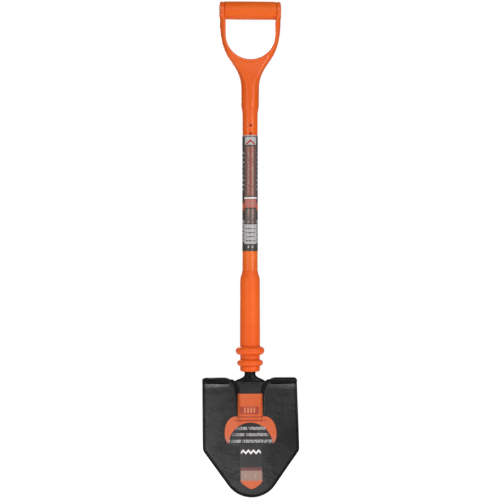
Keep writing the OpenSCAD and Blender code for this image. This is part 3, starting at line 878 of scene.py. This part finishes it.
def build_blade(material, rim_shade_material):
    """Dished blade plate with its raised centre, rolled shoulders and ground front edge, and
    painted shade along its front rim.
    """
    radius, thinnest = PLATE_T / 2, 0.0005
    x, z = plate_grid()

    def depth(width):
        """How far a face lies from the plate's middle, with its rim rounded over a width."""
        inwards = np.minimum(to_rim(x, z) / width, (plate_top(x) - z) / radius)
        return radius * np.sqrt(1 - (1 - np.clip(inwards, thinnest, 1)) ** 2)

    wide = x * side_scale(z)
    middle = face_y(wide, z) + radius
    front = np.stack([wide, middle - depth(LIP), z], axis=-1)
    back = np.stack([wide, middle + depth(radius), z], axis=-1)
    piece = sheet("blade_plate", front, back, material)

    # Painted shade: the front faces along the rim take the darker forging coat
    faces = piece.data.polygons
    piece.data.materials.append(rim_shade_material)
    centres, facing = np.empty(3 * len(faces)), np.empty(3 * len(faces))
    faces.foreach_get("center", centres)
    faces.foreach_get("normal", facing)
    x, _, z = centres.reshape(-1, 3).T / MM
    lip = (to_rim(x / side_scale(z), z) < LIP) & (facing[1::3] < 0)
    faces.foreach_set("material_index", lip.astype(np.int32))
    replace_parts(mark_edges(piece), "blade")


def build_blade_label(material):
    """Printed label stuck to the blade: a tab, a wide rounded body and a pointed tail."""
    tab, body, tail, corner = 27.3, 54.5, 23.5, 2.0
    tab_top, body_top, body_bottom, tail_end, tip = -804.0, -851.0, -913.0, -984.0, -1001.0
    shoulder = body_top - 36
    turn = np.linspace(0, math.pi / 2, 8)
    table = [(tab_top - corner * (1 - math.cos(t)), tab - corner * (1 - math.sin(t))) for t in turn]
    for curve in (
        ((tab, body_top), (body - 8, body_top - 1), (body, body_top - 18), (body, shoulder)),
        ((body, shoulder), (body, body_bottom + 4), (body - 12, body_bottom), (tail, body_bottom)),
        ((tail, tail_end), (tail - 3, tail_end - 6), (8, tip + 1), (0.3, tip)),
    ):
        table += [(z, x) for x, z in bezier(*curve)]
    table = [(z - 1e-4 * i, x) for i, (z, x) in enumerate(table)]
    levels = {round(z, 4) for z, _ in table} | set(np.linspace(tab_top, tip, 90))
    levels = np.array(sorted(levels, reverse=True))
    levels = levels[(levels <= tab_top) & (levels >= tip)]
    half = along(table, levels)
    x = half[:, None] * np.linspace(-1, 1, 65)
    z = levels[:, None] * np.ones_like(x)
    gap, thick = 0.1, 0.4
    y = face_y(x, z)
    front = np.stack([x, y - gap - thick, z], axis=-1)
    back = np.stack([x, y - gap, z], axis=-1)
    piece = sheet("blade_label_film", front, back, material)
    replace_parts(sharpen(piece, 50), "blade_label")


# --- Treads and welds ----------------------------------------------------------------


def refined(node_name, material, width):
    """Copy of a CAD node with its coplanar triangles merged and its sharp edges rounded."""
    flat, sharp = math.radians(0.5), math.radians(35)
    mesh = bmesh.new()
    mesh.from_mesh(NODES[node_name].data)
    bmesh.ops.remove_doubles(mesh, verts=mesh.verts, dist=1e-6)
    bmesh.ops.dissolve_limit(mesh, angle_limit=flat, verts=mesh.verts, edges=mesh.edges)
    data = bpy.data.meshes.new(f"{node_name}_body")
    mesh.to_mesh(data)
    mesh.free()
    rough = link(f"{node_name}_rough", data)
    bevel = rough.modifiers.new("soft_edges", "BEVEL")
    bevel.width, bevel.segments = width * MM, 3
    bevel.limit_method, bevel.angle_limit = "ANGLE", sharp
    graph = bpy.context.evaluated_depsgraph_get()
    result = bpy.data.meshes.new_from_object(rough.evaluated_get(graph))
    bpy.data.objects.remove(rough)
    piece = add_piece(f"{node_name}_body", result, material)
    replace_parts(mark_edges(sharpen(piece)), node_name)


def build_weld(side, material):
    """Fillet weld with ripples, under a tread along the back of the plate."""
    start, end, under, leg, furthest_back = 58.4, 93.6, HEAD_TOP - 3.32, 11.2, 21.3
    ripple_depth, ripple_pitch, off_plate = 0.35, 2.6, PLATE_T + 0.1
    xs = np.linspace(start, end, 90)
    ripple = ripple_depth * np.abs(np.sin((xs - start) * math.pi / ripple_pitch))
    ends = np.sqrt(np.clip(np.minimum(xs - start, end - xs) / 3, 0.05, 1))
    around = np.linspace(0, math.pi / 2, 12)
    points = []
    for x, dent, grow in zip(xs, ripple, ends):
        reach = leg * grow - dent
        corner = face_y(x, under) + off_plate
        wall = face_y(x, under - reach) + off_plate
        far = min(corner + reach, furthest_back)
        points.append((x, corner, under))
        for a in around:
            hollow = math.sin(2 * a) * grow
            y = mix(far, wall, math.sin(a)) - 1.4 * hollow
            z = mix(under - 0.02, under - reach, 1 - math.cos(a)) - 0.6 * hollow
            points.append((x, y, z))
    count, last = len(around) + 1, (len(xs) - 1) * (len(around) + 1)
    faces = [tuple(range(count)), tuple(range(last, last + count))]
    for a in range(0, last, count):
        for j in range(count):
            k = (j + 1) % count
            faces.append((a + j, a + k, a + k + count, a + j + count))
    word = "right" if side > 0 else "left"
    name, points = f"tread_weld_{word}_bead", np.array(points) * (side, 1, 1)
    piece = face_outwards(add_mesh(name, points, faces, material))
    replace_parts(mark_edges(sharpen(piece, 60)), f"tread_weld_{word}")


# --- Whole shovel --------------------------------------------------------------------


def build_shovel():
    """Every visible piece, and the finish of the CAD nodes that stay."""
    moulding = plastic(
        "orange_moulding", (0.76, 0.102, 0.006), (0.79, 0.122, 0.009),
        rough=(0.24, 0.36), grain=900, specular=0.38)
    grip = plastic(
        "orange_grip", (0.77, 0.11, 0.007), (0.81, 0.135, 0.01),
        rough=(0.42, 0.55), grain=700, specular=0.2)
    cladding = plastic(
        "orange_cladding", (0.74, 0.115, 0.009), (0.8, 0.155, 0.018),
        rough=(0.2, 0.3), grain=1500, streaks=0.0003, specular=0.45)
    sleeve = plastic(
        "orange_sleeve", (0.77, 0.1, 0.007), (0.81, 0.125, 0.011), grain=800, specular=0.25)
    plug = plastic(
        "dark_orange_plug", (0.34, 0.038, 0.003), (0.42, 0.055, 0.005),
        rough=(0.45, 0.6), specular=0.2)
    forging = black_coat(
        "black_forging", (0.0035, 0.0035, 0.0037), worn_share=0.3, specular=0.12)
    plate = black_coat(
        "black_blade", (0.0085, 0.0084, 0.0082), worn_share=0.5, specular=0.3, peel=300)

    hilt_box = (-66.5, -21.5, -276.5), (66.5, 21.5, 21.5)
    piece = moulded("hilt_moulding", hilt_field, *hilt_box, 1.3, moulding, "orange_moulding")
    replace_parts(mark_edges(piece), "hilt")
    build_grip(grip, plug)
    build_pins(plug)
    build_shaft(cladding, sleeve, seal_rubber())
    build_wrap(printed_wrap())
    # The forging's darker coat also paints shade along the blade's front rim
    build_blade(plate, forging)
    build_blade_label(printed_sticker())
    for word in ("left", "right"):
        refined(f"tread_{word}", forging, 0.7)
    build_weld(-1, forging)
    build_weld(1, forging)

    rod, steel = fibre_rod(), rivet_steel()
    for name, material in (
        ("grip_core", rod), ("core_rod", rod), ("socket", forging),
        ("socket_rivet_upper", steel), ("socket_rivet_lower", steel),
    ):
        mesh = NODES[name].data
        mesh.materials.clear()
        mesh.materials.append(material)
        smooth_shaded(mesh)
        sharpen(NODES[name])


# --- Stage, light and camera ---------------------------------------------------------


def build_camera():
    """Level camera at the middle of the shovel's height, a little to its left."""
    field_width, distance, sensor = 1.05, 6.0, 36.0
    azimuth = math.radians(-4.7)
    aim = Vector((0.0, 0.0, -0.5027))
    camera = link("camera", bpy.data.cameras.new("camera"))
    camera.data.sensor_width = sensor
    camera.data.lens = sensor * distance / field_width
    camera.location = aim + Vector((math.sin(azimuth), -math.cos(azimuth), 0)) * distance
    camera.rotation_euler = (math.radians(90), 0, azimuth)
    bpy.context.scene.camera = camera


def paper():
    """Near-white matt floor that fades out into the white surroundings at its rim."""
    r = Recipe("floor_paper", specular=0.1)
    r.give("Base Color", r.mix(r.noise(3, 2), (0.88, 0.88, 0.88), (0.92, 0.92, 0.92)))
    r.shader.inputs["Roughness"].default_value = 0.95
    r.shader.inputs["Emission Color"].default_value = (1, 1, 1, 1)
    r.shader.inputs["Emission Strength"].default_value = 0.6
    x, y, _ = r.axes()
    far = r.math("SQRT", r.math("ADD", r.times(x, x), r.times(y, y)))
    r.give("Alpha", r.span(far, 0.9, 2.2, 1.0, 0.0))
    return r.material


def build_stage():
    """Round pale floor just under the blade's tip."""
    floor_z, rings, around = cad_low.z - MM, (0.3, 0.9, 1.6, 2.3), 96
    turns = np.linspace(0, 2 * math.pi, around, endpoint=False)
    points = [(0, 0, floor_z)]
    points += [(q * math.cos(a), q * math.sin(a), floor_z) for q in rings for a in turns]
    faces = [(0, 1 + i, 1 + (i + 1) % around) for i in range(around)]
    for first in range(1, 1 + (len(rings) - 1) * around, around):
        for i in range(around):
            a, b = first + i, first + (i + 1) % around
            faces.append((a, a + around, b + around, b))
    mesh = bpy.data.meshes.new("floor")
    mesh.from_pydata(points, [], faces)
    mesh.materials.append(paper())
    link("floor", mesh)


def area_light(name, place, aim, size, power):
    """Rectangular softbox at a place, turned towards its aim."""
    light = bpy.data.lights.new(name, "AREA")
    light.shape = "RECTANGLE"
    light.size, light.size_y = size
    light.energy = power
    lamp = link(name, light)
    lamp.location = place
    lamp.rotation_euler = (Vector(aim) - Vector(place)).to_track_quat("-Z", "Y").to_euler()


def build_light():
    """White surroundings that shed a dim light, brightest from above, and four softboxes."""
    world = bpy.data.worlds.new("studio")
    bpy.context.scene.world = world
    world.use_nodes = True
    nodes, links = world.node_tree.nodes, world.node_tree.links
    way = nodes.new("ShaderNodeSeparateXYZ")
    links.new(nodes.new("ShaderNodeTexCoord").outputs["Generated"], way.inputs[0])

    def ramp(source, *limits):
        node = nodes.new("ShaderNodeMapRange")
        node.interpolation_type = "SMOOTHSTEP"
        links.new(source, node.inputs[0])
        for socket, value in zip(list(node.inputs)[1:], limits):
            socket.default_value = value
        return node.outputs[0]

    def join(operation, first, second):
        node = nodes.new("ShaderNodeMath")
        node.operation = operation
        links.new(first, node.inputs[0])
        links.new(second, node.inputs[1])
        return node.outputs[0]

    rising = ramp(way.outputs["Z"], 0.15, 0.45, 0.2, 0.62)
    falling = ramp(way.outputs["Z"], 0.55, 0.9, 1.0, 0.35)
    level = join("MULTIPLY", rising, falling)
    seen = nodes.new("ShaderNodeLightPath").outputs["Is Camera Ray"]
    background = nodes["Background"]
    background.inputs["Color"].default_value = (1, 1, 1, 1)
    links.new(join("MAXIMUM", level, seen), background.inputs["Strength"])
    middle = (0, 0, -0.5)
    area_light("softbox_right", (1.42, -2.25, -0.32), middle, (0.36, 1.35), 19)
    area_light("softbox_left", (-1.65, -2.06, -0.32), middle, (0.36, 1.35), 11)
    area_light("overhead", (0.4, -2.3, 0.98), (0, 0, -0.75), (1.0, 0.3), 19)
    area_light("back_fill", (-0.4, 2.6, 0.2), middle, (1.0, 1.6), 24)
    bpy.context.scene.view_settings.view_transform = "Standard"


build_shovel()
build_camera()
build_stage()
build_light()
